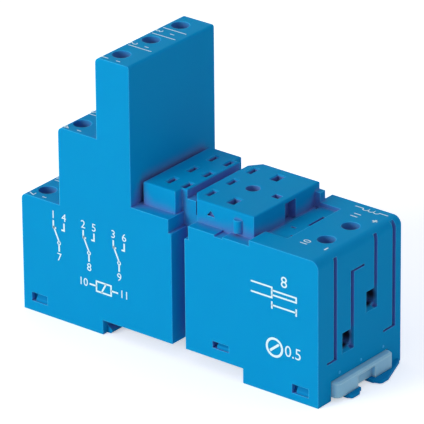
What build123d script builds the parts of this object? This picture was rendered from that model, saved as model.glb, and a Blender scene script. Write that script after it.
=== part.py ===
"""Relay socket for a 35 mm rail, with three changeover poles on stepped screw terminals.

X runs along the socket from the stepped end to the coil end, Y across it and Z up.
The origin is the middle of the seat that rests on the rail.
"""

import os

from build123d import *

# Rail seat and feet
rail_width = 35.0
rail_clearance = 0.8
foot_depth = 3.2
hook_reach = 1.3
hook_gap = 1.5
hook_chamfer = 0.4
recess_half = (rail_width + rail_clearance) / 2

# Housing outline, chained along X from the start of the relay seat
module_width = 27.0
seat_start = -9.15
tower_gap = 1.0
tower_depth = 8.5
middle_depth = 10.0
lower_depth = 10.0
lower_top = 22.5
middle_top = 39.7
tower_top = 57.4
ledge_top = 27.15
coil_block_rise = 1.25
coil_block_length = 17.0
step_round = 1.2
tower_round = 0.5
end_round = 1.8

# Relay seat
seat_rise = 4.9
seat_margin = 2.9
left_block_length = 8.0
neck_length = 1.3
groove_depth = 1.95
groove_width = 2.25
right_block_length = 16.15
seat_end_gap = 1.0
corner_run = 2.05
corner_rise = 2.5
seat_round = 0.3

half_width = module_width / 2
tower_end = seat_start - tower_gap
tower_start = tower_end - tower_depth
middle_start = tower_start - middle_depth
left_end = middle_start - lower_depth
left_block_end = seat_start + left_block_length
groove_start = left_block_end + neck_length
right_block_start = groove_start + groove_width
right_block_end = right_block_start + right_block_length
coil_block_start = right_block_end + seat_end_gap
right_end = coil_block_start + coil_block_length
seat_top = ledge_top + seat_rise
seat_half = half_width - seat_margin
coil_block_top = ledge_top + coil_block_rise

# Walls and clearances
wall = 1.3
end_wall = 1.4
top_skin = 1.45
slide_gap = 0.1
seat_gap = 0.05

# Clip channels in the two sides
channel_depth = 5.1
channel_width = 3.4
channel_inset = 1.2
notch_lead = 0.75
notch_width = 5.1
notch_drop = 2.95
channel_floor = half_width - channel_depth
channel_start = left_block_end + channel_inset
channel_end = channel_start + channel_width
notch_start = channel_start - notch_lead

# Relay slots, by column and row
slot_width = 1.0
slot_length = 2.6
slot_pitch = channel_floor - 1.8
break_slot_x = seat_start + 4.0
make_slot_x = seat_start + 7.9
common_slot_x = right_block_start + 2.45
coil_slot_x = right_block_start + 8.4
coil_slot_y = seat_half - 3.7
coil_slot_length = 2.7
coil_slot_width = 1.7
slot_chamfer = 0.25
guide_hole_x = right_block_start + 7.7
guide_hole_radius = 1.5
guide_hole_depth = 6.0

# Terminals
lower_screw_inset = 3.4
middle_screw_inset = 2.9
tower_screw_inset = 3.3
coil_screw_inset = 5.25
side_screw_inset = 4.2
coil_screw_reach = 2.3
well_radius = 1.9
head_drop = 2.2
head_radius = 1.7
head_height = 2.0
drive_width = 0.7
drive_depth = 0.9
drive_cross = 2.2
screw_radius = 1.45
screw_length = 5.8
wire_space = 3.4
wire_width = 3.6
mouth_depth = 1.2
mouth_rise = 0.3
mouth_drop = 0.8
coil_entry_low = 9.9
coil_entry_high = 15.9
relief_width = 1.4
relief_depth = 0.6
terminal_pitch = half_width - side_screw_inset
lower_screw_x = left_end + lower_screw_inset
middle_screw_x = middle_start + middle_screw_inset
tower_screw_x = tower_start + tower_screw_inset
coil_screw_x = right_end - coil_screw_inset

# Rising cages
cage_width = 5.6
cage_depth = 3.8
cage_wall = 0.7
cage_collar = 2.0
cage_floor = 0.9
cage_corner = 0.5
cage_travel = 3.0
thread_clearance = 0.05
jaw_notch = 0.3
jaw_pitch = 1.0
jaw_count = 3

# Contact strips
strip_thickness = 0.8
tongue_width = 4.0
riser_gap = 0.3
riser_width = 2.0
run_height = 3.0
coil_run_bottom = 4.5
run_step = 4.5
plate_y = channel_floor - 1.1
coil_plate_y = channel_floor - 2.2
coil_screw_y = coil_plate_y - coil_screw_reach
fork_gap = 0.5
fork_height = 9.8
fork_width = 2.2
fork_leaf = 0.45
fork_half = 0.85
fork_pinch = 0.25
fork_room = 1.1
fork_straight = 6.3
fork_pinch_height = 8.4
fork_rise = 0.8
fork_bottom = seat_top - top_skin - fork_gap - fork_height
break_run_bottom = fork_bottom - fork_rise - run_height
make_run_bottom = break_run_bottom - run_step
common_run_bottom = make_run_bottom - run_step

# Base covers
cover_thickness = 1.6
cover_joint = 0.1
rib_thickness = 0.8
rib_lead = 1.0
left_rib_inset = 8.65
right_rib_inset = 9.55
core_pitch_x = 6.0
core_pitch_y = 7.6
core_length = 4.6
core_width = 6.2
core_depth = 1.6
snap_depth = 1.1
snap_slope = 0.7
snap_length = 3.0
snap_arm = 1.0
window_length = 4.1
left_window_inset = 2.1
left_window_bottom = -1.0
left_window_height = 1.95
inner_window_inset = 6.8
inner_window_bottom = 2.3
inner_window_height = 1.5
outer_window_inset = 6.45
outer_window_bottom = -1.6
outer_window_height = 1.95
cover_split = (channel_start + channel_end) / 2

# Rail latch and its spring
latch_half = half_width - 7.3
latch_bottom = -2.35
latch_thickness = 1.75
latch_nose = 1.5
nose_top = -1.25
nose_face = 0.4
tab_half = half_width - 4.3
tab_top = 1.0
tab_reach = 1.65
tab_round = 1.2
tab_edge = 0.4
grip_y = 0.2
grip_length = 5.6
grip_top = 0.2
grip_depth = 1.0
lip_half_gap = 2.0
lip_reach = 1.9
peg_inset = 6.35
peg_length = 1.2
peg_half = 1.3
pocket_half = 1.5
pocket_length = 10.5
spring_strip = 0.6
spring_width = 1.0
spring_half = 1.0
spring_bends = 9

# Details of the seat's coil side and of the coil end
bump_inset = 3.8
bump_radius = 1.0
bump_bottom = 0.65
bump_height = 2.7
arrow_inset = 10.7
arrow_half = 1.0
arrow_bottom = 2.05
arrow_height = 1.2
arrow_depth = 0.6
ledge_notch_inset = 7.65
ledge_notch_length = 2.0
ledge_notch_depth = 0.4
key_inset = 3.25
key_length = 1.8
key_width = 1.6
key_depth = 1.8
key_y = -0.2
key_slot_y = 1.15
key_slot_width = 3.5
key_slot_depth = 1.9
key_slot_bottom = -0.4
key_bridge = 0.85
module_pocket_length = 6.45
module_pocket_width = 17.3
module_pocket_y = 0.45
module_pocket_depth = 0.9
lug_length = 1.4
lug_width = 1.6
lug_drop = 1.55
end_groove_width = 1.1
end_groove_depth = 0.9
hook_line_width = 0.5
hook_line_depth = 0.5
pocket_slot_depth = 0.8

foot_bottom = -foot_depth
pocket_floor = coil_block_top - module_pocket_depth
cavity_half = half_width - wall
cavity_left = left_end + end_wall
cavity_right = right_end - end_wall
left_foot_middle = (cavity_left - recess_half) / 2
latch_top = latch_bottom + latch_thickness
cover_half = cavity_half - seat_gap
cover_neck = channel_floor - wall - seat_gap
tab_start = cavity_right + seat_gap
tab_end = right_end + tab_reach
peg_start = right_end - peg_inset
pocket_end = peg_start + peg_length + seat_gap
pocket_start = pocket_end - pocket_length
cage_inner_height = strip_thickness + wire_space + slide_gap
cage_height = cage_floor + cage_inner_height + cage_collar
cage_bottom = seat_gap - cage_inner_height - cage_floor
head_top = screw_length + head_height
shaft_reach = tower_top + foot_depth
left_rib_start = left_end + left_rib_inset
left_rib_end = cover_split - rib_thickness
right_rib_start = coil_slot_x + 2 * fork_room
right_rib_end = right_end - right_rib_inset
spring_length = peg_start - pocket_start - 2 * seat_gap
cage_room = cage_collar + cage_travel + 2 * slide_gap
rear_length = cage_depth / 2 + riser_gap + riser_width

# Windows that the covers snap into: start, bottom and height
windows = (
    (left_end + left_window_inset, left_window_bottom, left_window_height),
    (channel_end + inner_window_inset, inner_window_bottom, inner_window_height),
    (right_end - outer_window_inset, outer_window_bottom, outer_window_height),
)
# Grooves in the coil end: middle Y, bottom and top
end_grooves = (
    (-7.9, 5.1, 27.4),
    (-2.4, 5.7, 22.7),
    (5.2, 11.7, 27.65),
    (11.2, 5.2, coil_block_top),
)
# Short lines that turn off the grooves: height and the two ends in Y
hook_lines = (
    (5.35, -10.6, -7.9),
    (22.45, -2.4, 1.5),
    (5.45, 7.7, 11.2),
)
# Small slots in the module pocket: middle from the seat's end, middle Y, length and width
pocket_slots = (
    (1.05, 8.2, 0.8, 1.2),
    (3.1, -1.9, 1.2, 0.5),
    (5.05, 3.1, 0.7, 5.0),
    (5.3, -5.2, 0.7, 0.7),
)


def block(x_limits, y_limits, z_limits, mode=Mode.ADD):
    """Add or cut a block between two limits on each axis."""
    x_low, x_high = sorted(x_limits)
    y_low, y_high = sorted(y_limits)
    z_low, z_high = sorted(z_limits)
    with BuildSketch(Plane.XY.offset(z_low)) as outline:
        with Locations(((x_low + x_high) / 2, (y_low + y_high) / 2)):
            Rectangle(x_high - x_low, y_high - y_low)
    extrude(outline.sketch, amount=z_high - z_low, mode=mode)


def around(middle, half):
    """Give the limits that lie half a size to each side of a middle."""
    return middle - half, middle + half


def side_profile(points, y_middle, width, mode=Mode.ADD):
    """Add or cut a profile drawn in X and Z, with its width centred on a Y."""
    with BuildSketch(Plane.XZ.offset(-y_middle)) as outline:
        with BuildLine():
            Polyline(*points, close=True)
        make_face()
    extrude(outline.sketch, amount=width / 2, both=True, mode=mode)


class Terminal:
    """One screw terminal: where its screw, tongue, upright plate and fork are."""

    def __init__(self, name, face, screw, surface, drop, rear, slot, plate, run_bottom):
        self.name = name
        self.face = face
        self.x, self.y = screw
        self.surface = surface
        self.drop = drop
        self.bar = surface - drop
        self.rear = rear
        self.slot_x, self.slot_y = slot
        self.plate = plate
        self.run_bottom = run_bottom
        self.riser_start = self.x + rear * (cage_depth / 2 + riser_gap)
        self.riser_end = self.riser_start + rear * riser_width
        self.riser_middle = (self.riser_start + self.riser_end) / 2
        self.rear_middle = self.x + rear * (rear_length + slide_gap) / 2
        self.run_end = self.slot_x + rear * fork_half
        self.run_middle = (self.riser_start + self.run_end) / 2
        self.run_length = abs(self.run_end - self.riser_start)
        self.entry_top = self.bar - strip_thickness


# The three tiers: contact, face, bottom, top, screw, slot and the height of the strip's run
tiers = (
    ("common", left_end, foot_bottom, lower_top, lower_screw_x, common_slot_x, common_run_bottom),
    ("make", middle_start, lower_top, middle_top, middle_screw_x, make_slot_x, make_run_bottom),
    ("break", tower_start, middle_top, tower_top, tower_screw_x, break_slot_x, break_run_bottom),
)
terminals = []
for pole in (-1, 0, 1):
    for kind, face, _, tier_top, screw_x, slot_x, run_bottom in tiers:
        terminals.append(Terminal(
            name=f"{kind}_{pole + 2}",
            face=face,
            screw=(screw_x, pole * terminal_pitch),
            surface=tier_top,
            drop=head_drop + head_height + screw_length,
            rear=1,
            slot=(slot_x, pole * slot_pitch),
            plate=pole * plate_y,
            run_bottom=run_bottom,
        ))
for number, side, entry_top in ((1, -1, coil_entry_low), (2, 1, coil_entry_high)):
    terminals.append(Terminal(
        name=f"coil_{number}",
        face=right_end,
        screw=(coil_screw_x, side * coil_screw_y),
        surface=coil_block_top,
        drop=coil_block_top - entry_top - strip_thickness,
        rear=-1,
        slot=(coil_slot_x, side * coil_slot_y),
        plate=side * coil_plate_y,
        run_bottom=coil_run_bottom,
    ))
contact_terminals, coil_terminals = terminals[:-2], terminals[-2:]

# Mouth of a wire entry, drawn from the entry's top edge at the outer face
with BuildPart() as entry_mouth:
    side_profile(
        (
            (0, mouth_rise),
            (0, -wire_space - mouth_drop),
            (mouth_depth, -wire_space),
            (mouth_depth, 0),
        ),
        0, wire_width,
    )


# Housing: one moulding, open below, with a shaft for each cage, plate and fork
with BuildPart() as housing:
    # Stepped body with the rail recess between its feet
    with BuildSketch(Plane.XZ) as side_view:
        with BuildLine():
            Polyline(
                (left_end, foot_bottom),
                (left_end, lower_top),
                (middle_start, lower_top),
                (middle_start, middle_top),
                (tower_start, middle_top),
                (tower_start, tower_top),
                (tower_end, tower_top),
                (tower_end, ledge_top),
                (coil_block_start, ledge_top),
                (coil_block_start, coil_block_top),
                (right_end, coil_block_top),
                (right_end, foot_bottom),
                (recess_half, foot_bottom),
                (recess_half, 0),
                (-recess_half, 0),
                (-recess_half, foot_bottom),
                close=True,
            )
        make_face()
        for x, z, radius in (
            (left_end, lower_top, step_round),
            (middle_start, middle_top, step_round),
            (tower_start, tower_top, step_round),
            (tower_end, tower_top, tower_round),
            (right_end, coil_block_top, end_round),
        ):
            fillet(side_view.vertices().sort_by_distance((x, z, 0))[0], radius)
    extrude(amount=half_width, both=True)

    # Relief grooves between the poles, up the face of each tier
    for _, face, bottom, top, _, _, _ in tiers:
        for side in (-1, 1):
            block((face, face + relief_depth), around(side * terminal_pitch / 2, relief_width / 2),
                  (bottom, top), Mode.SUBTRACT)

    # Relay seat: a left block with a neck, a low bridge and a right block with cut corners
    with BuildSketch(Plane.XY.offset(ledge_top)) as seat_view:
        with Locations(((seat_start + left_block_end) / 2, 0)):
            Rectangle(left_block_length, 2 * seat_half)
        with Locations(((left_block_end + groove_start) / 2, 0)):
            Rectangle(neck_length, 2 * channel_floor)
        with BuildLine():
            Polyline(
                (right_block_start, seat_half - corner_rise),
                (right_block_start + corner_run, seat_half),
                (right_block_end, seat_half),
                (right_block_end, -seat_half),
                (right_block_start + corner_run, -seat_half),
                (right_block_start, corner_rise - seat_half),
                close=True,
            )
        make_face()
    extrude(amount=seat_rise)
    fillet(housing.faces().filter_by_position(Axis.Z, *around(seat_top, seat_gap)).edges(), seat_round)
    block((left_block_end, right_block_start), around(0, channel_floor),
          (ledge_top, seat_top - groove_depth))

    # Stop lug at the end of the seat and the round bump on its near side
    block((right_block_end, right_block_end + lug_length), (seat_half - lug_width, seat_half),
          (ledge_top, seat_top - lug_drop))
    with BuildSketch(Plane.XY.offset(ledge_top + bump_bottom)):
        with Locations((right_block_end - bump_inset, -seat_half)):
            Circle(bump_radius)
    extrude(amount=bump_height)

    # Arrow recess in the near side and the notch in the ledge below it
    arrow_x = right_block_end - arrow_inset
    arrow_z = ledge_top + arrow_bottom
    side_profile(
        (
            (arrow_x - arrow_half, arrow_z),
            (arrow_x, arrow_z + arrow_height),
            (arrow_x + arrow_half, arrow_z),
        ),
        -seat_half, 2 * arrow_depth, Mode.SUBTRACT,
    )
    notch_x = right_block_end - ledge_notch_inset
    block((notch_x, notch_x + ledge_notch_length), (-half_width, -seat_half),
          (ledge_top - ledge_notch_depth, ledge_top), Mode.SUBTRACT)

    # Clip channels down both sides, wider where the clip's ears seat
    for side in (-1, 1):
        block((channel_start, channel_end), (side * channel_floor, side * half_width),
              (foot_bottom, ledge_top), Mode.SUBTRACT)
        block((notch_start, notch_start + notch_width), (side * channel_floor, side * half_width),
              (ledge_top - notch_drop, ledge_top), Mode.SUBTRACT)

    # Key opening in the seat, the slot below it in the seat's end and the module pocket beyond
    key_x = right_block_end - key_inset
    block((key_x, key_x + key_length), around(key_y, key_width / 2),
          (seat_top - key_depth, seat_top), Mode.SUBTRACT)
    block((right_block_end - key_slot_depth, right_block_end), around(key_slot_y, key_slot_width / 2),
          (ledge_top + key_slot_bottom, seat_top - key_bridge), Mode.SUBTRACT)
    block((coil_block_start, right_block_end + module_pocket_length),
          around(module_pocket_y, module_pocket_width / 2),
          (pocket_floor, coil_block_top), Mode.SUBTRACT)
    for x, y, length, width in pocket_slots:
        block(around(right_block_end + x, length / 2), around(y, width / 2),
              (pocket_floor - pocket_slot_depth, pocket_floor), Mode.SUBTRACT)

    # Grooves and lines in the coil end
    for y, bottom, top in end_grooves:
        block((right_end - end_groove_depth, right_end), around(y, end_groove_width / 2),
              (bottom, top), Mode.SUBTRACT)
    for z, start, end in hook_lines:
        block((right_end - hook_line_depth, right_end), (start, end),
              around(z, hook_line_width / 2), Mode.SUBTRACT)

    # Hollow for the base covers
    block((cavity_left, channel_start - wall), around(0, cavity_half),
          (foot_bottom, cover_thickness), Mode.SUBTRACT)
    block((channel_end + wall, cavity_right), around(0, cavity_half),
          (foot_bottom, cover_thickness), Mode.SUBTRACT)
    block((channel_start - wall, channel_end + wall), around(0, channel_floor - wall),
          (foot_bottom, cover_thickness), Mode.SUBTRACT)

    # Shafts open to the base: cages, tongues, uprights and forks
    from_top = (Align.CENTER, Align.CENTER, Align.MAX)
    with Locations(*[(t.x, t.y, t.bar + cage_room) for t in terminals]):
        Box(cage_depth + 2 * slide_gap, cage_width + 2 * slide_gap, shaft_reach,
            align=from_top, mode=Mode.SUBTRACT)
    with Locations(*[(t.rear_middle, t.y, t.bar) for t in terminals]):
        Box(rear_length + slide_gap, tongue_width + 2 * slide_gap, shaft_reach,
            align=from_top, mode=Mode.SUBTRACT)
    with Locations(*[(t.riser_middle, t.plate, t.bar) for t in terminals]):
        Box(riser_width + 2 * slide_gap, strip_thickness + 2 * slide_gap, shaft_reach,
            align=from_top, mode=Mode.SUBTRACT)
    with Locations(*[(t.slot_x, t.slot_y, seat_top - top_skin) for t in terminals]):
        Box(2 * fork_room, fork_width + 2 * slide_gap, shaft_reach,
            align=from_top, mode=Mode.SUBTRACT)
    for kind in ("common", "make", "break", "coil"):
        alike = [t for t in terminals if t.name.startswith(kind)]
        with Locations(*[(t.run_middle, t.plate, t.run_bottom + run_height + slide_gap) for t in alike]):
            Box(alike[0].run_length + 2 * slide_gap, strip_thickness + 2 * slide_gap, shaft_reach,
                align=from_top, mode=Mode.SUBTRACT)

    # Screwdriver wells and wire entries, open to the outside
    for drop in sorted({t.drop for t in terminals}):
        with Locations(*[(t.x, t.y, t.surface) for t in terminals if t.drop == drop]):
            Cylinder(well_radius, drop - cage_collar, align=from_top, mode=Mode.SUBTRACT)
    with Locations(*[(t.x - t.rear * coil_screw_inset / 2, t.y, t.entry_top) for t in terminals]):
        Box(coil_screw_inset, wire_width, wire_space, align=from_top, mode=Mode.SUBTRACT)
    with Locations(*[Location((t.face, t.y, t.entry_top), (0, 0, 90 - 90 * t.rear)) for t in terminals]):
        add(entry_mouth.part, mode=Mode.SUBTRACT)

    # Relay slots with a lead-in all round, and the blind guide hole between the coil slots
    with Locations(*[(t.slot_x, t.slot_y, seat_top) for t in contact_terminals]):
        Box(slot_width, slot_length, top_skin + slide_gap, align=from_top, mode=Mode.SUBTRACT)
    with Locations(*[(t.slot_x, t.slot_y, seat_top) for t in coil_terminals]):
        Box(coil_slot_width, coil_slot_length, top_skin + slide_gap, align=from_top, mode=Mode.SUBTRACT)
    with BuildSketch(Plane.XY.offset(seat_top)):
        with Locations(*[(t.slot_x, t.slot_y) for t in contact_terminals]):
            Rectangle(slot_width + 2 * slot_chamfer, slot_length + 2 * slot_chamfer)
        with Locations(*[(t.slot_x, t.slot_y) for t in coil_terminals]):
            Rectangle(coil_slot_width + 2 * slot_chamfer, coil_slot_length + 2 * slot_chamfer)
    extrude(amount=-slot_chamfer, taper=45, mode=Mode.SUBTRACT)
    with Locations((guide_hole_x, 0, seat_top)):
        Hole(guide_hole_radius, depth=guide_hole_depth)

    # Snap windows in both side walls
    for x, z, height in windows:
        for side in (-1, 1):
            block((x, x + window_length), (side * cavity_half, side * half_width),
                  (z, z + height), Mode.SUBTRACT)
            block((x, x + window_length), (side * (cavity_half - snap_arm), side * cavity_half),
                  (0, z + height), Mode.SUBTRACT)

    # Opening in the end wall for the latch
    block((cavity_right, right_end), around(0, tab_half + slide_gap),
          (foot_bottom, tab_top + slide_gap), Mode.SUBTRACT)
housing.part.label = "housing"


# Base covers: plates that close the housing from below and snap into its windows
def snap_wedge(window):
    """Add the pair of wedges that catch on a window's lower edge, one each side."""
    start, bottom, height = window
    snap_end = start + window_length - slide_gap
    for side in (-1, 1):
        with BuildSketch(Plane.YZ.offset(snap_end - snap_length)) as wedge:
            with BuildLine():
                Polyline(
                    (side * cover_half, bottom + seat_gap),
                    (side * (cover_half + snap_depth), bottom + seat_gap),
                    (side * (cover_half + snap_depth), bottom + snap_slope),
                    (side * cover_half, bottom + height - seat_gap),
                    close=True,
                )
            make_face()
        extrude(wedge.sketch, amount=snap_length)


left_window, inner_window, outer_window = windows

with BuildPart() as left_base_cover:
    block((cavity_left + seat_gap, channel_start - wall - seat_gap), around(0, cover_half),
          (0, cover_thickness))
    block((channel_start - wall - seat_gap, cover_split - cover_joint / 2), around(0, cover_neck),
          (0, cover_thickness))
    # Foot with the fixed rail hook
    side_profile(
        (
            (cavity_left + seat_gap, 0),
            (cavity_left + seat_gap, foot_bottom),
            (hook_reach - recess_half - hook_chamfer, foot_bottom),
            (hook_reach - recess_half, foot_bottom + hook_chamfer),
            (hook_reach - recess_half, foot_bottom + 2 * hook_chamfer),
            (-recess_half, -hook_gap),
            (-recess_half, 0),
        ),
        0, 2 * cover_half,
    )
    # Ribs that hold up the strips
    for rib_y in (-plate_y, 0, plate_y):
        side_profile(
            (
                (left_rib_start, cover_thickness),
                (left_rib_start + rib_lead, common_run_bottom - slide_gap),
                (left_rib_end - rib_lead, common_run_bottom - slide_gap),
                (left_rib_end, cover_thickness),
            ),
            rib_y, rib_thickness,
        )
    # Cored pockets under the foot
    with BuildSketch(Plane.XY.offset(foot_bottom)):
        with Locations((left_foot_middle, 0)):
            with GridLocations(core_pitch_x, core_pitch_y, 3, 3):
                Rectangle(core_length, core_width)
    extrude(amount=core_depth, mode=Mode.SUBTRACT)
    snap_wedge(left_window)
left_base_cover.part.label = "left_base_cover"

with BuildPart() as right_base_cover:
    block((channel_end + wall + seat_gap, cavity_right - seat_gap), around(0, cover_half),
          (0, cover_thickness))
    block((cover_split + cover_joint / 2, channel_end + wall + seat_gap), around(0, cover_neck),
          (0, cover_thickness))
    # Foot with the latch channel and the two lips that carry the latch
    with BuildSketch(Plane.YZ.offset(recess_half)):
        with Locations((0, foot_bottom / 2)):
            Rectangle(2 * cover_half, foot_depth)
        with Locations((0, (latch_bottom + latch_top) / 2)):
            Rectangle(2 * (latch_half + slide_gap), latch_thickness + 2 * seat_gap, mode=Mode.SUBTRACT)
        with Locations((0, (foot_bottom + latch_bottom) / 2)):
            Rectangle(2 * lip_half_gap, latch_bottom - foot_bottom, mode=Mode.SUBTRACT)
    extrude(amount=cavity_right - seat_gap - recess_half)
    for side in (-1, 1):
        block((cavity_right - seat_gap, right_end + lip_reach),
              (side * lip_half_gap, side * (latch_half + slide_gap)),
              (foot_bottom, latch_bottom - seat_gap))
    # Peg in the latch's pocket, which stops the latch and backs its spring
    block((peg_start, peg_start + peg_length), around(0, peg_half), (latch_bottom, 0))
    # Ribs that hold up the coil strips
    for rib_y in (-coil_plate_y, coil_plate_y):
        side_profile(
            (
                (right_rib_start, cover_thickness),
                (right_rib_start + rib_lead, coil_run_bottom - slide_gap),
                (right_rib_end - rib_lead, coil_run_bottom - slide_gap),
                (right_rib_end, cover_thickness),
            ),
            rib_y, rib_thickness,
        )
    # Snaps, with an upright arm under each inner one
    inner_start, inner_bottom, inner_height = inner_window
    arm_end = inner_start + window_length - slide_gap
    for side in (-1, 1):
        block((arm_end - snap_length, arm_end),
              (side * (cover_half - snap_arm + slide_gap), side * cover_half),
              (cover_thickness, inner_bottom + inner_height - seat_gap))
    snap_wedge(inner_window)
    snap_wedge(outer_window)
right_base_cover.part.label = "right_base_cover"


# Rail latch: a sliding plate with a nose under the rail and a pull tab outside
with BuildPart() as rail_latch:
    side_profile(
        (
            (recess_half, latch_top),
            (recess_half, nose_top),
            (recess_half - latch_nose, nose_top),
            (recess_half - latch_nose, nose_top - nose_face),
            (recess_half - nose_face, latch_bottom),
            (tab_start, latch_bottom),
            (tab_start, latch_top),
        ),
        0, 2 * latch_half,
    )
    with BuildSketch(Plane.XY.offset(latch_bottom)) as tab_view:
        with Locations(((tab_start + tab_end) / 2, 0)):
            Rectangle(tab_end - tab_start, 2 * tab_half)
        fillet(tab_view.vertices().group_by(Axis.X)[-1], tab_round)
    extrude(amount=tab_top - latch_bottom)
    chamfer(rail_latch.edges().group_by(Axis.Z)[-1].group_by(Axis.X)[1:], tab_edge)
    # Grip for a screwdriver, open below
    block((tab_end - grip_depth, tab_end), around(grip_y, grip_length / 2),
          (latch_bottom, grip_top), Mode.SUBTRACT)
    block((pocket_start, pocket_end), around(0, pocket_half), (latch_bottom, latch_top), Mode.SUBTRACT)
rail_latch.part.label = "rail_latch"

# Spring between the latch's pocket and the peg: one strip folded to and fro
with BuildPart() as latch_spring:
    bend_pitch = spring_length / spring_bends
    bends = [(pocket_start + seat_gap + i * bend_pitch, spring_half * (-1) ** i)
             for i in range(spring_bends + 1)]
    with BuildSketch(Plane.XY.offset((latch_bottom + latch_top) / 2)):
        with BuildLine():
            Polyline(
                *[(x, y - spring_strip / 2) for x, y in bends],
                *[(x, y + spring_strip / 2) for x, y in reversed(bends)],
                close=True,
            )
        make_face()
    extrude(amount=spring_width / 2, both=True)
latch_spring.part.label = "latch_spring"


def contact_strip(terminal):
    """One strip: an upright plate, the tongue in the cage and the fork under the slot."""
    facing = terminal.rear
    run_top = terminal.run_bottom + run_height
    with BuildPart() as strip:
        side_profile(
            (
                (terminal.riser_start, terminal.run_bottom),
                (terminal.riser_start, terminal.bar),
                (terminal.riser_end, terminal.bar),
                (terminal.riser_end, run_top),
                (terminal.slot_x - facing * fork_half, run_top),
                (terminal.slot_x - facing * fork_half, fork_bottom),
                (terminal.run_end, fork_bottom),
                (terminal.run_end, terminal.run_bottom),
            ),
            terminal.plate, strip_thickness,
        )
        tongue_sides = around(terminal.y, tongue_width / 2)
        plate_sides = around(terminal.plate, strip_thickness / 2)
        block((terminal.x - facing * cage_depth / 2, terminal.riser_end),
              tongue_sides, (terminal.entry_top, terminal.bar))
        block((terminal.riser_start, terminal.riser_end),
              (min(tongue_sides + plate_sides), max(tongue_sides + plate_sides)),
              (terminal.entry_top, terminal.bar))
        # Fork: a folded base with two leaves that pinch the relay's blade
        block(around(terminal.slot_x, fork_half), around(terminal.slot_y, fork_width / 2),
              (fork_bottom, fork_bottom + fork_leaf))
        for side in (-1, 1):
            outer = terminal.slot_x + side * fork_half
            inner = terminal.slot_x + side * (fork_half - fork_leaf)
            side_profile(
                (
                    (outer, fork_bottom),
                    (outer, fork_bottom + fork_straight),
                    (terminal.slot_x + side * (fork_pinch + fork_leaf), fork_bottom + fork_pinch_height),
                    (outer, fork_bottom + fork_height),
                    (inner, fork_bottom + fork_height),
                    (terminal.slot_x + side * fork_pinch, fork_bottom + fork_pinch_height),
                    (inner, fork_bottom + fork_straight),
                    (inner, fork_bottom),
                ),
                terminal.slot_y, fork_width,
            )
    return strip.part


# Cage at its lowest, with its threaded collar resting on the tongue, drawn about the tongue's top
with BuildPart() as cage:
    with BuildSketch(Plane.YZ) as ring:
        with Locations((0, cage_bottom + cage_height / 2)):
            Rectangle(cage_width, cage_height)
        chamfer(ring.vertices(), cage_corner)
        with Locations((0, cage_bottom + cage_floor + cage_inner_height / 2)):
            Rectangle(cage_width - 2 * cage_wall, cage_inner_height, mode=Mode.SUBTRACT)
    extrude(amount=cage_depth / 2, both=True)
    with Locations((0, 0, cage_bottom + cage_height)):
        Hole(screw_radius + thread_clearance, depth=cage_collar + slide_gap)
    # Grooves across the floor that grip the wire
    with BuildSketch(Plane.XY.offset(cage_bottom + cage_floor)):
        with GridLocations(jaw_pitch, 1, jaw_count, 1):
            Rectangle(jaw_notch, cage_width - 2 * cage_wall)
    extrude(amount=-jaw_notch, mode=Mode.SUBTRACT)

# Screw with its end on the tongue and its head in the well, drawn about the tongue's top
with BuildPart() as screw:
    with BuildSketch(Plane.XZ):
        with BuildLine():
            Polyline(
                (0, seat_gap),
                (screw_radius, seat_gap),
                (screw_radius, screw_length),
                (head_radius, screw_length),
                (head_radius, head_top),
                (0, head_top),
                close=True,
            )
        make_face()
    revolve(axis=Axis.Z)
    # Straight slot with a short cross
    with BuildSketch(Plane.XY.offset(head_top)):
        Rectangle(2 * head_radius, drive_width)
        Rectangle(drive_width, drive_cross)
    extrude(amount=-drive_depth, mode=Mode.SUBTRACT)


pieces = [housing.part, left_base_cover.part, right_base_cover.part, rail_latch.part, latch_spring.part]
for terminal in terminals:
    at_terminal = Location((terminal.x, terminal.y, terminal.bar))
    for kind, piece in (
        ("contact", contact_strip(terminal)),
        ("cage", cage.part.moved(at_terminal)),
        ("screw", screw.part.moved(at_terminal)),
    ):
        piece.label = f"{kind}_{terminal.name}"
        pieces.append(piece)

os.makedirs("parts", exist_ok=True)
for piece in pieces:
    export_step(piece, f"parts/{piece.label}.step")
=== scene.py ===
import math

import bmesh
import bpy
from mathutils import Matrix, Vector


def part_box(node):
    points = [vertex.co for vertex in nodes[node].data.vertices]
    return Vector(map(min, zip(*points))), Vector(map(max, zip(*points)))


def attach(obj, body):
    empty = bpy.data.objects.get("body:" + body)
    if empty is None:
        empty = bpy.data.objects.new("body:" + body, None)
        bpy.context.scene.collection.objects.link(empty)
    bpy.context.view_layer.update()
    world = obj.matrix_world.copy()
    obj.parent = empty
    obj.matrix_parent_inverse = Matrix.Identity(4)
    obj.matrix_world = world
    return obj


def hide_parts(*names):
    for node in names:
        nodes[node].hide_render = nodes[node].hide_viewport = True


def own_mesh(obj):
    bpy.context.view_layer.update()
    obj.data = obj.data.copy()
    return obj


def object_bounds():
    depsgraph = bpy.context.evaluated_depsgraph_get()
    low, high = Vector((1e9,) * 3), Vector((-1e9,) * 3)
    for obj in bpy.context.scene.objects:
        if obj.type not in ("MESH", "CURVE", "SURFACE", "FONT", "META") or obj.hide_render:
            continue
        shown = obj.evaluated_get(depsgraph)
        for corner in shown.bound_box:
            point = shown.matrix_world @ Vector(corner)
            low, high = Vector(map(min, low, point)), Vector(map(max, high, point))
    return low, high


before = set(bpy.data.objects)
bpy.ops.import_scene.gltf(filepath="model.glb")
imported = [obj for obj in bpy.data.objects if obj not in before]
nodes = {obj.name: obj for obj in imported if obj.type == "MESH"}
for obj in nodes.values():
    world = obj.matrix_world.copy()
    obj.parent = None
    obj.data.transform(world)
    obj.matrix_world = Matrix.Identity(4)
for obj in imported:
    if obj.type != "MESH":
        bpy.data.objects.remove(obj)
cad_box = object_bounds()


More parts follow.
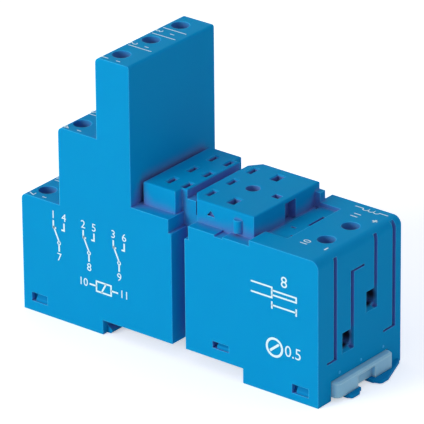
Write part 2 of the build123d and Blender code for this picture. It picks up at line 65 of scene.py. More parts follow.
# Housing: one injection moulding in satin blue nylon, stepped for three tiers of terminals, with the
# relay seat behind them and the rail recess below. The mould leaves a fine grain on its faces; its
# sharp edges are painted a little lighter as a highlight, and its recesses darker as painted shade.
grain_layers = 3
clouds_per_metre = 90
cloud_layers = 4


def grain_group():
    """Height of the mould's spark grain, and slow clouds of unevenly mixed colour."""
    group = bpy.data.node_groups.new("mould_grain", "ShaderNodeTree")
    sockets = group.interface
    sockets.new_socket("Grain Size", in_out="INPUT", socket_type="NodeSocketFloat")
    sockets.new_socket("Height", in_out="OUTPUT", socket_type="NodeSocketFloat")
    sockets.new_socket("Cloud", in_out="OUTPUT", socket_type="NodeSocketFloat")
    inputs = group.nodes.new("NodeGroupInput")
    outputs = group.nodes.new("NodeGroupOutput")
    where = group.nodes.new("ShaderNodeTexCoord")
    per_metre = group.nodes.new("ShaderNodeMath")
    per_metre.operation = "DIVIDE"
    per_metre.inputs[0].default_value = 1
    group.links.new(inputs.outputs["Grain Size"], per_metre.inputs[1])
    grain = group.nodes.new("ShaderNodeTexNoise")
    grain.inputs["Detail"].default_value = grain_layers
    group.links.new(where.outputs["Object"], grain.inputs["Vector"])
    group.links.new(per_metre.outputs["Value"], grain.inputs["Scale"])
    group.links.new(grain.outputs["Fac"], outputs.inputs["Height"])
    cloud = group.nodes.new("ShaderNodeTexNoise")
    cloud.inputs["Scale"].default_value = clouds_per_metre
    cloud.inputs["Detail"].default_value = cloud_layers
    group.links.new(where.outputs["Object"], cloud.inputs["Vector"])
    group.links.new(cloud.outputs["Fac"], outputs.inputs["Cloud"])
    return group


# Where the edge mask is full, the plastics take a lighter edge colour: a painted highlight where light
# would catch the edges' rounding.
edge_samples = 6
flat_cosine, full_edge_cosine = 0.98, 0.80


def edge_group():
    """Softened normals along sharp edges, and a mask of where the edges are."""
    group = bpy.data.node_groups.new("soft_edges_and_highlight", "ShaderNodeTree")
    sockets = group.interface
    sockets.new_socket("Reach", in_out="INPUT", socket_type="NodeSocketFloat")
    sockets.new_socket("Mask", in_out="OUTPUT", socket_type="NodeSocketFloat")
    sockets.new_socket("Normal", in_out="OUTPUT", socket_type="NodeSocketVector")
    inputs = group.nodes.new("NodeGroupInput")
    outputs = group.nodes.new("NodeGroupOutput")
    soft = group.nodes.new("ShaderNodeBevel")
    soft.samples = edge_samples
    group.links.new(inputs.outputs["Reach"], soft.inputs["Radius"])
    flat = group.nodes.new("ShaderNodeNewGeometry")
    along = group.nodes.new("ShaderNodeVectorMath")
    along.operation = "DOT_PRODUCT"
    group.links.new(soft.outputs["Normal"], along.inputs[0])
    group.links.new(flat.outputs["Normal"], along.inputs[1])
    bend = group.nodes.new("ShaderNodeMapRange")
    bend.inputs["From Min"].default_value = flat_cosine
    bend.inputs["From Max"].default_value = full_edge_cosine
    group.links.new(along.outputs["Value"], bend.inputs["Value"])
    group.links.new(bend.outputs["Result"], outputs.inputs["Mask"])
    group.links.new(soft.outputs["Normal"], outputs.inputs["Normal"])
    return group


# The recess masks paint shade: darker colours where little of the surround reaches a point.
sky_samples = 8
recess_shade_masks = (("Corner Shade", 0.78, 0.35), ("Deep Shade", 0.22, 0.02))


def recess_group():
    """Masks of painted shade: light shade in all inner corners, dark shade in deep holes."""
    group = bpy.data.node_groups.new("painted_recess_shade", "ShaderNodeTree")
    sockets = group.interface
    sockets.new_socket("Reach", in_out="INPUT", socket_type="NodeSocketFloat")
    inputs = group.nodes.new("NodeGroupInput")
    outputs = group.nodes.new("NodeGroupOutput")
    open_sky = group.nodes.new("ShaderNodeAmbientOcclusion")
    open_sky.samples = sky_samples
    open_sky.only_local = True
    group.links.new(inputs.outputs["Reach"], open_sky.inputs["Distance"])
    for mask, first_sky, full_sky in recess_shade_masks:
        sockets.new_socket(mask, in_out="OUTPUT", socket_type="NodeSocketFloat")
        depth = group.nodes.new("ShaderNodeMapRange")
        depth.inputs["From Min"].default_value = first_sky
        depth.inputs["From Max"].default_value = full_sky
        group.links.new(open_sky.outputs["AO"], depth.inputs["Value"])
        group.links.new(depth.outputs["Result"], outputs.inputs[mask])
    return group


def throat_group(places, edge, core):
    """A mask of painted shade inside the wire entries' throats, darkest at their cores."""
    group = bpy.data.node_groups.new("shaded_throats", "ShaderNodeTree")
    group.interface.new_socket("Mask", in_out="OUTPUT", socket_type="NodeSocketFloat")
    outputs = group.nodes.new("NodeGroupOutput")
    where = group.nodes.new("ShaderNodeTexCoord")
    gaps = []
    for place in places:
        gap = group.nodes.new("ShaderNodeVectorMath")
        gap.operation = "DISTANCE"
        gap.inputs[1].default_value = place
        group.links.new(where.outputs["Object"], gap.inputs[0])
        gaps.append(gap.outputs["Value"])
    nearest = gaps[0]
    for gap in gaps[1:]:
        nearer = group.nodes.new("ShaderNodeMath")
        nearer.operation = "MINIMUM"
        group.links.new(nearest, nearer.inputs[0])
        group.links.new(gap, nearer.inputs[1])
        nearest = nearer.outputs["Value"]
    depth = group.nodes.new("ShaderNodeMapRange")
    depth.inputs["From Min"].default_value = edge
    depth.inputs["From Max"].default_value = core
    group.links.new(nearest, depth.inputs["Value"])
    group.links.new(depth.outputs["Result"], outputs.inputs["Mask"])
    return group


mould_grain = grain_group()
soft_edges_and_highlight = edge_group()
painted_recess_shade = recess_group()
shade_reach = 0.0038
roughness_spread = 0.05
grain_width_to_depth = 8
grain_strength = 0.5


def moulded_plastic(name, colour, edge_highlight_colour, corner_shade_colour, deep_shade_colour, roughness, gloss,
                    grain_size, edge_reach, clouding=0.05, throats=None):
    """A moulded plastic with mould grain, clouding, painted highlights on its edges and painted shade
    in its recesses.
    """
    material = bpy.data.materials.new(name)
    material.use_nodes = True
    tree = material.node_tree
    shader = tree.nodes["Principled BSDF"]
    shader.inputs["Specular IOR Level"].default_value = gloss
    grain = tree.nodes.new("ShaderNodeGroup")
    grain.node_tree = mould_grain
    grain.inputs["Grain Size"].default_value = grain_size
    edges = tree.nodes.new("ShaderNodeGroup")
    edges.node_tree = soft_edges_and_highlight
    edges.inputs["Reach"].default_value = edge_reach
    recess = tree.nodes.new("ShaderNodeGroup")
    recess.node_tree = painted_recess_shade
    recess.inputs["Reach"].default_value = shade_reach
    clouded = tree.nodes.new("ShaderNodeMix")
    clouded.data_type = "RGBA"
    clouded.inputs["A"].default_value = (*[(1 - clouding) * c for c in colour], 1)
    clouded.inputs["B"].default_value = (*colour, 1)
    tree.links.new(grain.outputs["Cloud"], clouded.inputs["Factor"])
    # Painted highlight on the edges, then painted shade in inner corners, deep holes and wire entries
    masks = [(edges.outputs["Mask"], edge_highlight_colour), (recess.outputs["Corner Shade"], corner_shade_colour),
             (recess.outputs["Deep Shade"], deep_shade_colour)]
    if throats:
        throat = tree.nodes.new("ShaderNodeGroup")
        throat.node_tree = throats
        masks.append((throat.outputs["Mask"], deep_shade_colour))
    paint = clouded
    for mask, tint in masks:
        over = tree.nodes.new("ShaderNodeMix")
        over.data_type = "RGBA"
        over.inputs["B"].default_value = (*tint, 1)
        tree.links.new(mask, over.inputs["Factor"])
        tree.links.new(paint.outputs["Result"], over.inputs["A"])
        paint = over
    tree.links.new(paint.outputs["Result"], shader.inputs["Base Color"])
    sheen = tree.nodes.new("ShaderNodeMapRange")
    sheen.inputs["To Min"].default_value = roughness - roughness_spread
    sheen.inputs["To Max"].default_value = roughness + roughness_spread
    tree.links.new(grain.outputs["Cloud"], sheen.inputs["Value"])
    tree.links.new(sheen.outputs["Result"], shader.inputs["Roughness"])
    bump = tree.nodes.new("ShaderNodeBump")
    bump.inputs["Distance"].default_value = grain_size / grain_width_to_depth
    bump.inputs["Strength"].default_value = grain_strength
    tree.links.new(grain.outputs["Height"], bump.inputs["Height"])
    tree.links.new(edges.outputs["Normal"], bump.inputs["Normal"])
    tree.links.new(bump.outputs["Normal"], shader.inputs["Normal"])
    return material


def let_light_in(material, weight, depths):
    """Let light a little way into a plastic, to its own depth for red, green and blue."""
    shader = material.node_tree.nodes["Principled BSDF"]
    shader.inputs["Subsurface Weight"].default_value = weight
    shader.inputs["Subsurface Radius"].default_value = depths
    shader.inputs["Subsurface Scale"].default_value = 1.0


def dress(node, material):
    """Give a part of the frame its finish in place of the plain one it came with."""
    node.data.materials.clear()
    node.data.materials.append(material)


poles = (-1, 0, 1)
pole_pitch = 0.0093
# Middles of the painted shade in the wire entries, a little way in from each entry's mouth
throat_depth = 0.0017
throat_edge, throat_core = 0.00245, 0.00185
coil_end = 0.03655
coil_throats = ((-0.0039, 0.0082), (0.0039, 0.0142))
tier_throats = ((-0.03865, 0.0100), (-0.02865, 0.0272), (-0.01865, 0.0449))
throat_places = [(coil_end - throat_depth, y, z) for y, z in coil_throats]
for stepped_end, z in tier_throats:
    throat_places += [(stepped_end + throat_depth, pole * pole_pitch, z) for pole in poles]
shaded_throats = throat_group(throat_places, throat_edge, throat_core)
# Its lighter edge colour is a painted highlight; its corner and deep colours are painted shade.
housing_blue = moulded_plastic("housing_blue",
                               colour=(0.0, 0.302, 0.602), edge_highlight_colour=(0.05, 0.50, 0.90),
                               corner_shade_colour=(0.12, 0.19, 0.53), deep_shade_colour=(0.012, 0.014, 0.03),
                               roughness=0.58, gloss=0.05, grain_size=0.00022, edge_reach=0.0003,
                               throats=shaded_throats)
let_light_in(housing_blue, weight=0.5, depths=(0.0002, 0.0008, 0.0012))
dress(nodes["housing"], housing_blue)


def make_piece(name, shape, material):
    """Turn a worked shape into an object of its own, in one material."""
    mesh = bpy.data.meshes.new(name)
    shape.to_mesh(mesh)
    shape.free()
    mesh.materials.append(material)
    made = bpy.data.objects.new(name, mesh)
    bpy.context.collection.objects.link(made)
    return made


# Low round pips that the mould's gates left on the coil end below the entries, painted paler than
# the rest as a highlight
highlight_pip_blue = moulded_plastic("highlight_pip_blue",
                            colour=(0.02, 0.44, 0.80), edge_highlight_colour=(0.05, 0.50, 0.85),
                            corner_shade_colour=(0.02, 0.40, 0.76), deep_shade_colour=(0.02, 0.36, 0.70),
                            roughness=0.5, gloss=0.3, grain_size=0.00015, edge_reach=0.0001)
pip_places = ((-0.0066, 0.0021), (0.0004, 0.0021), (0.0077, 0.0021))
pip_radius = 0.00036
pip_height = 0.00020
pip_sink = 0.00003
pip_turns = 14
pip_leans = (0, 30, 60)
pips = bmesh.new()
for y, z in pip_places:
    rings = []
    for lean in pip_leans:
        radius = pip_radius * math.cos(math.radians(lean))
        x = coil_end - pip_sink + (pip_height + pip_sink) * math.sin(math.radians(lean))
        rings.append([pips.verts.new((x, y + radius * math.cos(math.tau * i / pip_turns),
                                      z + radius * math.sin(math.tau * i / pip_turns)))
                      for i in range(pip_turns)])
    crown = pips.verts.new((coil_end + pip_height, y, z))
    pips.faces.new(reversed(rings[0]))
    for low, high in zip(rings, rings[1:]):
        for i in range(pip_turns):
            j = (i + 1) % pip_turns
            pips.faces.new((low[i], low[j], high[j], high[i]))
    for i in range(pip_turns):
        pips.faces.new((rings[-1][i], rings[-1][(i + 1) % pip_turns], crown))
gate_pips = make_piece("gate_pips", pips, highlight_pip_blue)
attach(gate_pips, "socket_body")


# Printing on the housing: white ink, stamped on after moulding. It numbers the terminals from 1 to
# 11 and shows in plain lines which contacts they belong to, how far to strip a wire and how
# hard to turn a screw.
ink_film = 0.00002
ink_sink = 0.000005
ink_stroke = 0.00036
ink_full_colour = (0.70, 0.90, 0.93, 1)
ink_thin_colour = (0.22, 0.55, 0.78, 1)
ink_roughness = (0.55, 0.75)
ink_patches_per_metre = 2600
ink_patch_layers = 3
thin_from, thin_fully = 0.62, 0.78


def stamping_ink():
    """Slightly chalky white ink that lets the plastic through where it took badly."""
    material = bpy.data.materials.new("stamping_ink")
    material.use_nodes = True
    tree = material.node_tree
    shader = tree.nodes["Principled BSDF"]
    where = tree.nodes.new("ShaderNodeTexCoord")
    patches = tree.nodes.new("ShaderNodeTexNoise")
    patches.inputs["Scale"].default_value = ink_patches_per_metre
    patches.inputs["Detail"].default_value = ink_patch_layers
    tree.links.new(where.outputs["Object"], patches.inputs["Vector"])
    thin = tree.nodes.new("ShaderNodeMapRange")
    thin.inputs["From Min"].default_value = thin_from
    thin.inputs["From Max"].default_value = thin_fully
    tree.links.new(patches.outputs["Fac"], thin.inputs["Value"])
    cover = tree.nodes.new("ShaderNodeMix")
    cover.data_type = "RGBA"
    cover.inputs["A"].default_value = ink_full_colour
    cover.inputs["B"].default_value = ink_thin_colour
    tree.links.new(thin.outputs["Result"], cover.inputs["Factor"])
    tree.links.new(cover.outputs["Result"], shader.inputs["Base Color"])
    chalk = tree.nodes.new("ShaderNodeMapRange")
    chalk.inputs["To Min"].default_value, chalk.inputs["To Max"].default_value = ink_roughness
    tree.links.new(patches.outputs["Fac"], chalk.inputs["Value"])
    tree.links.new(chalk.outputs["Result"], shader.inputs["Roughness"])
    return material


white_ink = stamping_ink()


def ink_line(sheet, points, closed=False, width=ink_stroke):
    """Draw one line of ink through the points, with mitred corners."""
    count = len(points)
    edges = []
    for index, point in enumerate(points):
        here = Vector(point)
        ahead = (Vector(points[(index + 1) % count]) - here).normalized()
        behind = (here - Vector(points[index - 1])).normalized()
        onward = ahead if closed or index < count - 1 else behind
        inward = behind if closed or index else onward
        along = (onward + inward).normalized()
        across = Vector((-along.y, along.x))
        reach = width / 2 / across.dot(Vector((-onward.y, onward.x)))
        edges.append([sheet.verts.new((*(here + side * reach * across), 0)) for side in (1, -1)])
    for index in range(count if closed else count - 1):
        (a, b), (c, d) = edges[index], edges[(index + 1) % count]
        sheet.faces.new((a, b, d, c))


def ring(middle, radius, points=20):
    """Points of a circle for ink_line."""
    return [(middle[0] + radius * math.cos(2 * math.pi * i / points),
             middle[1] + radius * math.sin(2 * math.pi * i / points)) for i in range(points)]


numeral_share = 0.70
numeral_steps = 4


def ink_number(sheet, number, middle, height):
    """Set one numeral or number about its middle."""
    words = bpy.data.curves.new("numeral", "FONT")
    words.body = str(number)
    words.size = height / numeral_share
    words.align_x = "CENTER"
    words.align_y = "CENTER"
    words.resolution_u = numeral_steps
    setting = bpy.data.objects.new("numeral", words)
    shapes = bpy.data.meshes.new_from_object(setting)
    shapes.transform(Matrix.Translation((*middle, 0)))
    sheet.from_mesh(shapes)
    bpy.data.objects.remove(setting)
    bpy.data.curves.remove(words)
    bpy.data.meshes.remove(shapes)


weld_distance = 1e-7


def stamp(name, sheet, origin, across, up):
    """Turn a flat sheet of ink into a film on the housing's face and let it ride with the body."""
    bmesh.ops.remove_doubles(sheet, verts=sheet.verts, dist=weld_distance)
    bmesh.ops.recalc_face_normals(sheet, faces=sheet.faces)
    for face in sheet.faces:
        if face.normal.z < 0:
            face.normal_flip()
    top = bmesh.ops.extrude_face_region(sheet, geom=list(sheet.faces))
    bmesh.ops.translate(sheet, vec=(0, 0, ink_film),
                        verts=[v for v in top["geom"] if isinstance(v, bmesh.types.BMVert)])
    bmesh.ops.recalc_face_normals(sheet, faces=sheet.faces)
    across, up = Vector(across), Vector(up)
    out = across.cross(up)
    lie = Matrix((across, up, out)).transposed().to_4x4()
    lie.translation = Vector(origin) - ink_sink * out
    sheet.transform(lie)
    print_piece = make_piece(name, sheet, white_ink)
    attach(print_piece, "socket_body")


tiers = ("common", "make", "break")
middle_number = {"break": 2, "make": 5, "common": 8}
coil_number_left, coil_number_right = 10, 11
number_height = 0.0017
near_face = cad_box[0][1]

# The connection drawing on the near side: three changeover contacts, with a coil below them
contact_middle = -0.0212
contact_pitch = 0.0078
contact_foot = 0.0127
foot_length = 0.0006
contact_pivot = contact_foot + 0.0013
contact_tip = contact_pivot + 0.0031
tip_height = 0.0016
tip_hook = 0.0007
contact_spread = 0.0014
blade_overlap = 0.0003
dot_radius = 0.00034
dot_stroke = 0.00024
foot_number_z = contact_foot - 0.0019
tip_number_z = contact_tip + tip_height + 0.0012
drawing = bmesh.new()
for pole in poles:
    x = contact_middle + pole * contact_pitch
    left, right = x - contact_spread, x + contact_spread
    ink_line(drawing, [(x, contact_foot - foot_length), (x, contact_pivot - dot_radius)])
    ink_line(drawing, ring((x, contact_pivot), dot_radius), closed=True, width=dot_stroke)
    ink_line(drawing, [(x, contact_pivot + dot_radius), (left, contact_tip + blade_overlap)])
    for tip, hook in ((left, tip_hook), (right, -tip_hook)):
        ink_line(drawing, [(tip + hook, contact_tip), (tip, contact_tip),
                           (tip, contact_tip + tip_height)])
    ink_number(drawing, middle_number["break"] + pole, (left, tip_number_z), number_height)
    ink_number(drawing, middle_number["make"] + pole, (right, tip_number_z), number_height)
    ink_number(drawing, middle_number["common"] + pole, (x, foot_number_z), number_height)

coil_x, coil_z = -0.0175, 0.0072
coil_half = 0.0019
coil_height = 0.0011
coil_slash = 0.0006
coil_lead = 0.0037
coil_number_gap = 0.0053
for side, number in ((-1, coil_number_left), (1, coil_number_right)):
    ink_line(drawing, [(coil_x + side * coil_half, coil_z), (coil_x + side * coil_lead, coil_z)])
    ink_number(drawing, number, (coil_x + side * coil_number_gap, coil_z), number_height)
ink_line(drawing, [(coil_x + a * coil_half, coil_z + b * coil_height)
                   for a, b in ((-1, -1), (1, -1), (1, 1), (-1, 1))], closed=True)
ink_line(drawing, [(coil_x - coil_slash, coil_z - coil_height),
                   (coil_x + coil_slash, coil_z + coil_height)])
stamp("connection_drawing", drawing, (0, near_face, 0), (1, 0, 0), (0, 0, 1))

# The stripping gauge beside it: a wire end with its bare length, and a screw head with its torque
gauge_number = 0.0024
strip_length = 8
screw_torque = 0.5
wire_left, wire_right, wire_z = 0.0200, 0.0312, 0.0188
cover_end = wire_left + 0.0052
cover_radius = 0.0011
core_radius = 0.0005
measure_z = wire_z - 0.0027
measure_half = 0.0008
strip_number_z = wire_z + 0.0029
head_x, head_z = 0.0258, 0.0070
head_radius = 0.0019
head_points = 28
head_stroke = 0.0005
slot_x, slot_z = 0.0011, 0.0009
torque_x = head_x + 0.0046
gauge = bmesh.new()
for left, right, radius in ((wire_left, cover_end, cover_radius),
                            (cover_end, wire_right, core_radius)):
    ink_line(gauge, [(left, wire_z + radius), (right, wire_z + radius),
                     (right, wire_z - radius), (left, wire_z - radius)])
for end in (cover_end, wire_right):
    ink_line(gauge, [(end, measure_z - measure_half), (end, measure_z + measure_half)])
ink_line(gauge, [(cover_end, measure_z), (wire_right, measure_z)])
ink_number(gauge, strip_length, ((cover_end + wire_right) / 2, strip_number_z), gauge_number)
ink_line(gauge, ring((head_x, head_z), head_radius, head_points), closed=True, width=head_stroke)
ink_line(gauge, [(head_x - slot_x, head_z - slot_z), (head_x + slot_x, head_z + slot_z)],
         width=head_stroke)
ink_number(gauge, screw_torque, (torque_x, head_z), gauge_number)
stamp("wire_gauge", gauge, (0, near_face, 0), (1, 0, 0), (0, 0, 1))

# Numbers beside the wells on the tier tops, read from the stepped end, and thin lines between the poles
tier_top = {"common": 0.0225, "make": 0.0397, "break": 0.0574}
pole_lines = {"common": (-0.0047, 0.0047), "make": (-0.0047, 0.0047),
              "break": (-0.0047, 0.0028, 0.0063)}
near_number_y, middle_number_y = -0.0124, -0.0035
far_number_y = {"common": 0.0058, "make": 0.0058, "break": 0.00455}
thin_stroke = 0.00022
number_back = 0.0017
tick_from, tick_to = 0.0012, 0.0022
line_from, line_to = -0.0020, 0.0039
for kind in tiers:
    tops = bmesh.new()
    for pole, y in zip(poles, (near_number_y, middle_number_y, far_number_y[kind])):
        low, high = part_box(f"screw_{kind}_{pole + 2}")
        x = (low[0] + high[0]) / 2
        ink_number(tops, middle_number[kind] + pole, (-y, x - number_back), number_height)
        ink_line(tops, [(-y, x + tick_from), (-y, x + tick_to)], width=thin_stroke)
    for y in pole_lines[kind]:
        ink_line(tops, [(-y, x + line_from), (-y, x + line_to)], width=thin_stroke)
    stamp(f"{kind}_numbers", tops, (0, 0, tier_top[kind]), (0, -1, 0), (1, 0, 0))

# Marks at the coil wells: a number at the inner side and a sign at the outer side, and the coil's
# sign along the far edge
coil_face = 0.0284
coil_marks = ((coil_number_left, -0.0074, 0.0289, 0.0339),
              (coil_number_right, 0.0085, 0.0292, 0.0338))
plus_number = coil_number_right
sign_half = 0.0006
coil_top = bmesh.new()
for number, y, number_x, sign_x in coil_marks:
    ink_number(coil_top, number, (y, -number_x), number_height)
    ink_line(coil_top, [(y - sign_half, -sign_x), (y + sign_half, -sign_x)])
    if number == plus_number:
        for side in (-1, 1):
            ink_line(coil_top, [(y, -sign_x + side * ink_stroke / 2),
                                (y, -sign_x + side * sign_half)])
coil_line_y = 0.0120
lead_start, winding_start, winding_end, lead_end = 0.0264, 0.0284, 0.0324, 0.0344
bump_count = 3
bump_points = 8
bump_radius = (winding_end - winding_start) / bump_count / 2
winding = [(coil_line_y, -lead_start), (coil_line_y, -winding_start)]
for turn in range(bump_count):
    bump_x = winding_start + (2 * turn + 1) * bump_radius
    for i in range(1, bump_points):
        angle = math.pi * i / bump_points
        winding.append((coil_line_y - bump_radius * math.sin(angle),
                        -(bump_x - bump_radius * math.cos(angle))))
    winding.append((coil_line_y, -(bump_x + bump_radius)))
winding.append((coil_line_y, -lead_end))
ink_line(coil_top, winding, width=thin_stroke)
stamp("coil_numbers", coil_top, (0, 0, coil_face), (0, 1, 0), (-1, 0, 0))


# Base covers: two plates in the same nylon from another mould, snapped into the housing's
# windows from below; the right one carries the latch.
# Its lighter edge colour is a painted highlight; its corner and deep colours are painted shade.
cover_blue = moulded_plastic("cover_blue",
                             colour=(0.0, 0.245, 0.545), edge_highlight_colour=(0.01, 0.38, 0.72),
                             corner_shade_colour=(0.12, 0.17, 0.48), deep_shade_colour=(0.012, 0.014, 0.03),
                             roughness=0.55, gloss=0.06, grain_size=0.00022, edge_reach=0.00025)
for cover in ("left_base_cover", "right_base_cover"):
    dress(nodes[cover], cover_blue)

# The lips' rounded ends, which stand out under the latch; the far one runs back to the cover's corner
near_lip = ((0.03835, -0.0062), (0.0390, -0.0061), (0.0393, -0.0057), (0.0393, -0.0036),
            (0.0390, -0.0031), (0.03835, -0.0029))
far_lip = ((0.03835, 0.0021), (0.0396, 0.0025), (0.0400, 0.0030), (0.0400, 0.0050),
           (0.0396, 0.0060), (0.0373, 0.0122), (0.0369, 0.0126), (0.03645, 0.0126),
           (0.03645, 0.00625), (0.03835, 0.00625))
lip_bottom, lip_top = -0.00318, -0.00243
lip_edge = 0.00012
lips = bmesh.new()
for outline in (near_lip, far_lip):
    sheet = lips.faces.new([lips.verts.new((x, y, lip_bottom)) for x, y in outline])
    raised = bmesh.ops.extrude_face_region(lips, geom=[sheet])
    bmesh.ops.translate(lips, vec=(0, 0, lip_top - lip_bottom),
                        verts=[v for v in raised["geom"] if isinstance(v, bmesh.types.BMVert)])
bmesh.ops.recalc_face_normals(lips, faces=lips.faces)
bmesh.ops.bevel(lips, geom=list(lips.edges), offset=lip_edge, segments=2, profile=0.5,
                affect="EDGES")
lip_ends = make_piece("lip_ends", lips, cover_blue)
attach(lip_ends, "socket_body")


# Contact strips, cages and screws: strips pressed from tinned brass sheet, cages folded from steel
# and zinc plated, and turned steel screws. The strips are pushed into the housing from below, and
# each screw draws its cage up its shaft.
blotches_per_metre = 900
blotch_layers = 5
bright_spread, dull_spread = 0.08, 0.10


def plated_metal(name, colour, dull_colour, roughness):
    """Metal sheet or wire whose surface is a little cloudy, in colour and in gloss."""
    material = bpy.data.materials.new(name)
    material.use_nodes = True
    tree = material.node_tree
    shader = tree.nodes["Principled BSDF"]
    shader.inputs["Metallic"].default_value = 1
    where = tree.nodes.new("ShaderNodeTexCoord")
    cloud = tree.nodes.new("ShaderNodeTexNoise")
    cloud.inputs["Scale"].default_value = blotches_per_metre
    cloud.inputs["Detail"].default_value = blotch_layers
    tree.links.new(where.outputs["Object"], cloud.inputs["Vector"])
    tint = tree.nodes.new("ShaderNodeMix")
    tint.data_type = "RGBA"
    tint.inputs["A"].default_value = (*colour, 1)
    tint.inputs["B"].default_value = (*dull_colour, 1)
    tree.links.new(cloud.outputs["Fac"], tint.inputs["Factor"])
    tree.links.new(tint.outputs["Result"], shader.inputs["Base Color"])
    sheen = tree.nodes.new("ShaderNodeMapRange")
    sheen.inputs["To Min"].default_value = roughness - bright_spread
    sheen.inputs["To Max"].default_value = roughness + dull_spread
    tree.links.new(cloud.outputs["Fac"], sheen.inputs["Value"])
    tree.links.new(sheen.outputs["Result"], shader.inputs["Roughness"])
    return material


tinned_brass = plated_metal("tinned_brass", colour=(0.66, 0.58, 0.40),
                            dull_colour=(0.50, 0.44, 0.31), roughness=0.34)
cage_zinc = plated_metal("cage_zinc", colour=(0.58, 0.59, 0.60),
                         dull_colour=(0.42, 0.43, 0.45), roughness=0.38)
screw_zinc = plated_metal("screw_zinc", colour=(0.40, 0.38, 0.40),
                          dull_colour=(0.28, 0.27, 0.30), roughness=0.36)
for name, node in nodes.items():
    for start, metal in (("contact_", tinned_brass), ("cage_", cage_zinc), ("screw_", screw_zinc)):
        if name.startswith(start):
            dress(node, metal)


# Latch spring: a strip of spring steel folded to and fro with rounded bends. It lies loose between
# the end of the latch's pocket and the right cover's peg, and shortens as the latch is pulled out.
spring_steel = plated_metal("spring_steel", colour=(0.48, 0.48, 0.49),
                            dull_colour=(0.36, 0.36, 0.38), roughness=0.30)
dress(nodes["latch_spring"], spring_steel)


def rounded_line(corners, radius, steps):
    """Points along a line through the corners, with each inner corner rounded."""
    line = [Vector(corners[0])]
    for before, corner, after in zip(corners, corners[1:], corners[2:]):
        corner = Vector(corner)
        back = (Vector(before) - corner).normalized()
        onward = (Vector(after) - corner).normalized()
        half_angle = back.angle(onward) / 2
        start = corner + back * radius / math.tan(half_angle)
        centre = corner + (back + onward).normalized() * radius / math.sin(half_angle)
        sweep = math.pi - 2 * half_angle
        turn = math.copysign(1, back.cross(onward))
        spoke = start - centre
        for step in range(steps + 1):
            angle = -turn * sweep * step / steps
            line.append(centre + Vector((spoke.x * math.cos(angle) - spoke.y * math.sin(angle),
                                         spoke.x * math.sin(angle) + spoke.y * math.cos(angle))))
    line.append(Vector(corners[-1]))
    return line


spring_low, spring_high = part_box("latch_spring")
spring_folds = 9
fold_corner = 0.0016
fold_radius = 0.00025
fold_steps = 6
spring_end_reach = 0.0009
strip_half = 0.00013
spring_length = spring_high[0] - spring_low[0]
fold_pitch = (spring_length - 2 * strip_half) / spring_folds
fold_corners = [(spring_low[0] + strip_half + i * fold_pitch,
                 (-1) ** i * (spring_end_reach if i in (0, spring_folds) else fold_corner))
                for i in range(spring_folds + 1)]
fold_line = rounded_line(fold_corners, fold_radius, fold_steps)
strip_corners = ((-1, spring_low[2]), (1, spring_low[2]), (1, spring_high[2]), (-1, spring_high[2]))
strip = bmesh.new()
sections = []
for index, point in enumerate(fold_line):
    after = fold_line[min(index + 1, len(fold_line) - 1)]
    before = fold_line[max(index - 1, 0)]
    along = (after - before).normalized()
    across = Vector((-along.y, along.x)) * strip_half
    sections.append([strip.verts.new((*(point + side * across), z)) for side, z in strip_corners])
for first, second in zip(sections, sections[1:]):
    for i in range(4):
        strip.faces.new((first[i], first[(i + 1) % 4], second[(i + 1) % 4], second[i]))
for section in (sections[0], sections[-1]):
    strip.faces.new(section)
bmesh.ops.recalc_face_normals(strip, faces=strip.faces)
folded_spring = make_piece("folded_spring", strip, spring_steel)
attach(folded_spring, "socket_body")
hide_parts("latch_spring")
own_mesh(folded_spring)


# Rail latch: a slide in natural nylon, milky and a little see-through, moulded with rounded
# corners; it slides in the right cover and its nose catches under the rail.
# Its lighter edge colour is a painted highlight; its corner and deep colours are painted shade.
latch_nylon = moulded_plastic("latch_nylon",
                              colour=(0.36, 0.69, 0.86), edge_highlight_colour=(0.56, 0.84, 0.93),
                              corner_shade_colour=(0.24, 0.55, 0.78), deep_shade_colour=(0.10, 0.22, 0.34),
                              roughness=0.42, gloss=0.35, grain_size=0.0004, edge_reach=0.0006,
                              clouding=0.22)
let_light_in(latch_nylon, weight=0.5, depths=(0.0014, 0.0020, 0.0024))
dress(nodes["rail_latch"], latch_nylon)


# Studio: a pale sheet under the socket, one large soft lamp at the front left, and an even
# pale surround; the camera stands where the photograph's camera stood.
def seen_directly(tree):
    """One for the camera and for what gloss and glass show, and none for lighting the object."""
    ray = tree.nodes.new("ShaderNodeLightPath")
    total = ray.outputs["Is Camera Ray"]
    for kind in ("Is Glossy Ray", "Is Transmission Ray"):
        add = tree.nodes.new("ShaderNodeMath")
        add.operation = "ADD"
        add.use_clamp = True
        tree.links.new(total, add.inputs[0])
        tree.links.new(ray.outputs[kind], add.inputs[1])
        total = add.outputs["Value"]
    return total


sheet_lift = 0.50
pale_sheet = bpy.data.materials.new("pale_sheet")
pale_sheet.use_nodes = True
sheet_tree = pale_sheet.node_tree
sheet_shader = sheet_tree.nodes["Principled BSDF"]
sheet_shader.inputs["Base Color"].default_value = (0.92, 0.92, 0.92, 1)
sheet_shader.inputs["Roughness"].default_value = 0.9
sheet_shader.inputs["Emission Color"].default_value = (1, 1, 1, 1)
lift = sheet_tree.nodes.new("ShaderNodeMath")
lift.operation = "MULTIPLY"
lift.inputs[1].default_value = sheet_lift
sheet_tree.links.new(seen_directly(sheet_tree), lift.inputs[0])
sheet_tree.links.new(lift.outputs["Value"], sheet_shader.inputs["Emission Strength"])
facing = sheet_tree.nodes.new("ShaderNodeNewGeometry")
seen_from_above = sheet_tree.nodes.new("ShaderNodeMath")
seen_from_above.operation = "SUBTRACT"
seen_from_above.inputs[0].default_value = 1
sheet_tree.links.new(facing.outputs["Backfacing"], seen_from_above.inputs[1])
sheet_tree.links.new(seen_from_above.outputs["Value"], sheet_shader.inputs["Alpha"])

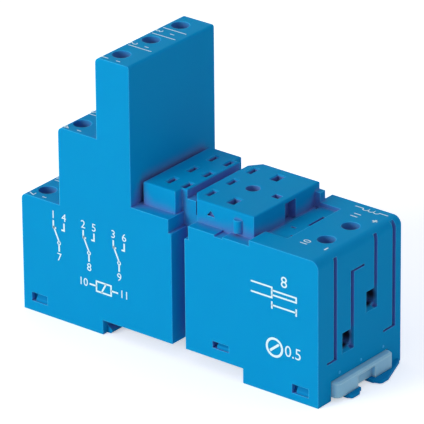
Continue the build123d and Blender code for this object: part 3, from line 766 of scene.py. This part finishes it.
(box_left, _, box_bottom), (box_right, _, box_top) = cad_box
floor_half = 1.6
floor_gap = 0.00005
floor_z = box_bottom - floor_gap
floor_mesh = bpy.data.meshes.new("floor")
floor_mesh.from_pydata([(-floor_half, -floor_half, floor_z), (floor_half, -floor_half, floor_z),
                        (floor_half, floor_half, floor_z), (-floor_half, floor_half, floor_z)],
                       [], [(0, 1, 2, 3)])
floor_mesh.materials.append(pale_sheet)
floor = bpy.data.objects.new("floor", floor_mesh)
bpy.context.collection.objects.link(floor)

surround_level = 0.53
surround_tint = (0.92, 0.97, 1.11, 1)
world = bpy.data.worlds.new("surround")
bpy.context.scene.world = world
world.use_nodes = True
sky = world.node_tree
surround = sky.nodes["Background"]
seen = seen_directly(sky)
tint = sky.nodes.new("ShaderNodeMix")
tint.data_type = "RGBA"
tint.inputs["A"].default_value = surround_tint
tint.inputs["B"].default_value = (1, 1, 1, 1)
sky.links.new(seen, tint.inputs["Factor"])
sky.links.new(tint.outputs["Result"], surround.inputs["Color"])
level = sky.nodes.new("ShaderNodeMapRange")
level.inputs["To Min"].default_value = surround_level
level.inputs["To Max"].default_value = 1.0
sky.links.new(seen, level.inputs["Value"])
sky.links.new(level.outputs["Result"], surround.inputs["Strength"])

lamp_distance = 1.15
lamp_direction = Vector((-0.36, -0.87, 0.34)).normalized()
key = bpy.data.lights.new("key", "AREA")
key.shape = "DISK"
key.size = 0.55
key.energy = 7.6
key.color = (1.0, 0.99, 0.95)
key_lamp = bpy.data.objects.new("key", key)
bpy.context.collection.objects.link(key_lamp)
middle = Vector(((box_left + box_right) / 2, 0, (box_bottom + box_top) / 2))
key_lamp.location = middle + lamp_distance * lamp_direction
key_lamp.rotation_euler = (-lamp_direction).to_track_quat("-Z", "Y").to_euler()

camera_place = (0.597114, -0.748403, 0.467616)
camera_turn = 38.5995
camera_drop = 24.8577
camera_roll = -0.5555
lens = bpy.data.cameras.new("camera")
lens.lens = 449.71
lens.sensor_width = 36
lens.clip_start = 0.01
camera = bpy.data.objects.new("camera", lens)
bpy.context.collection.objects.link(camera)
camera.matrix_world = (Matrix.Translation(camera_place)
                       @ Matrix.Rotation(math.radians(camera_turn), 4, "Z")
                       @ Matrix.Rotation(math.radians(90 - camera_drop), 4, "X")
                       @ Matrix.Rotation(math.radians(camera_roll), 4, "Z"))
bpy.context.scene.camera = camera
bpy.context.scene.view_settings.view_transform = "Standard"
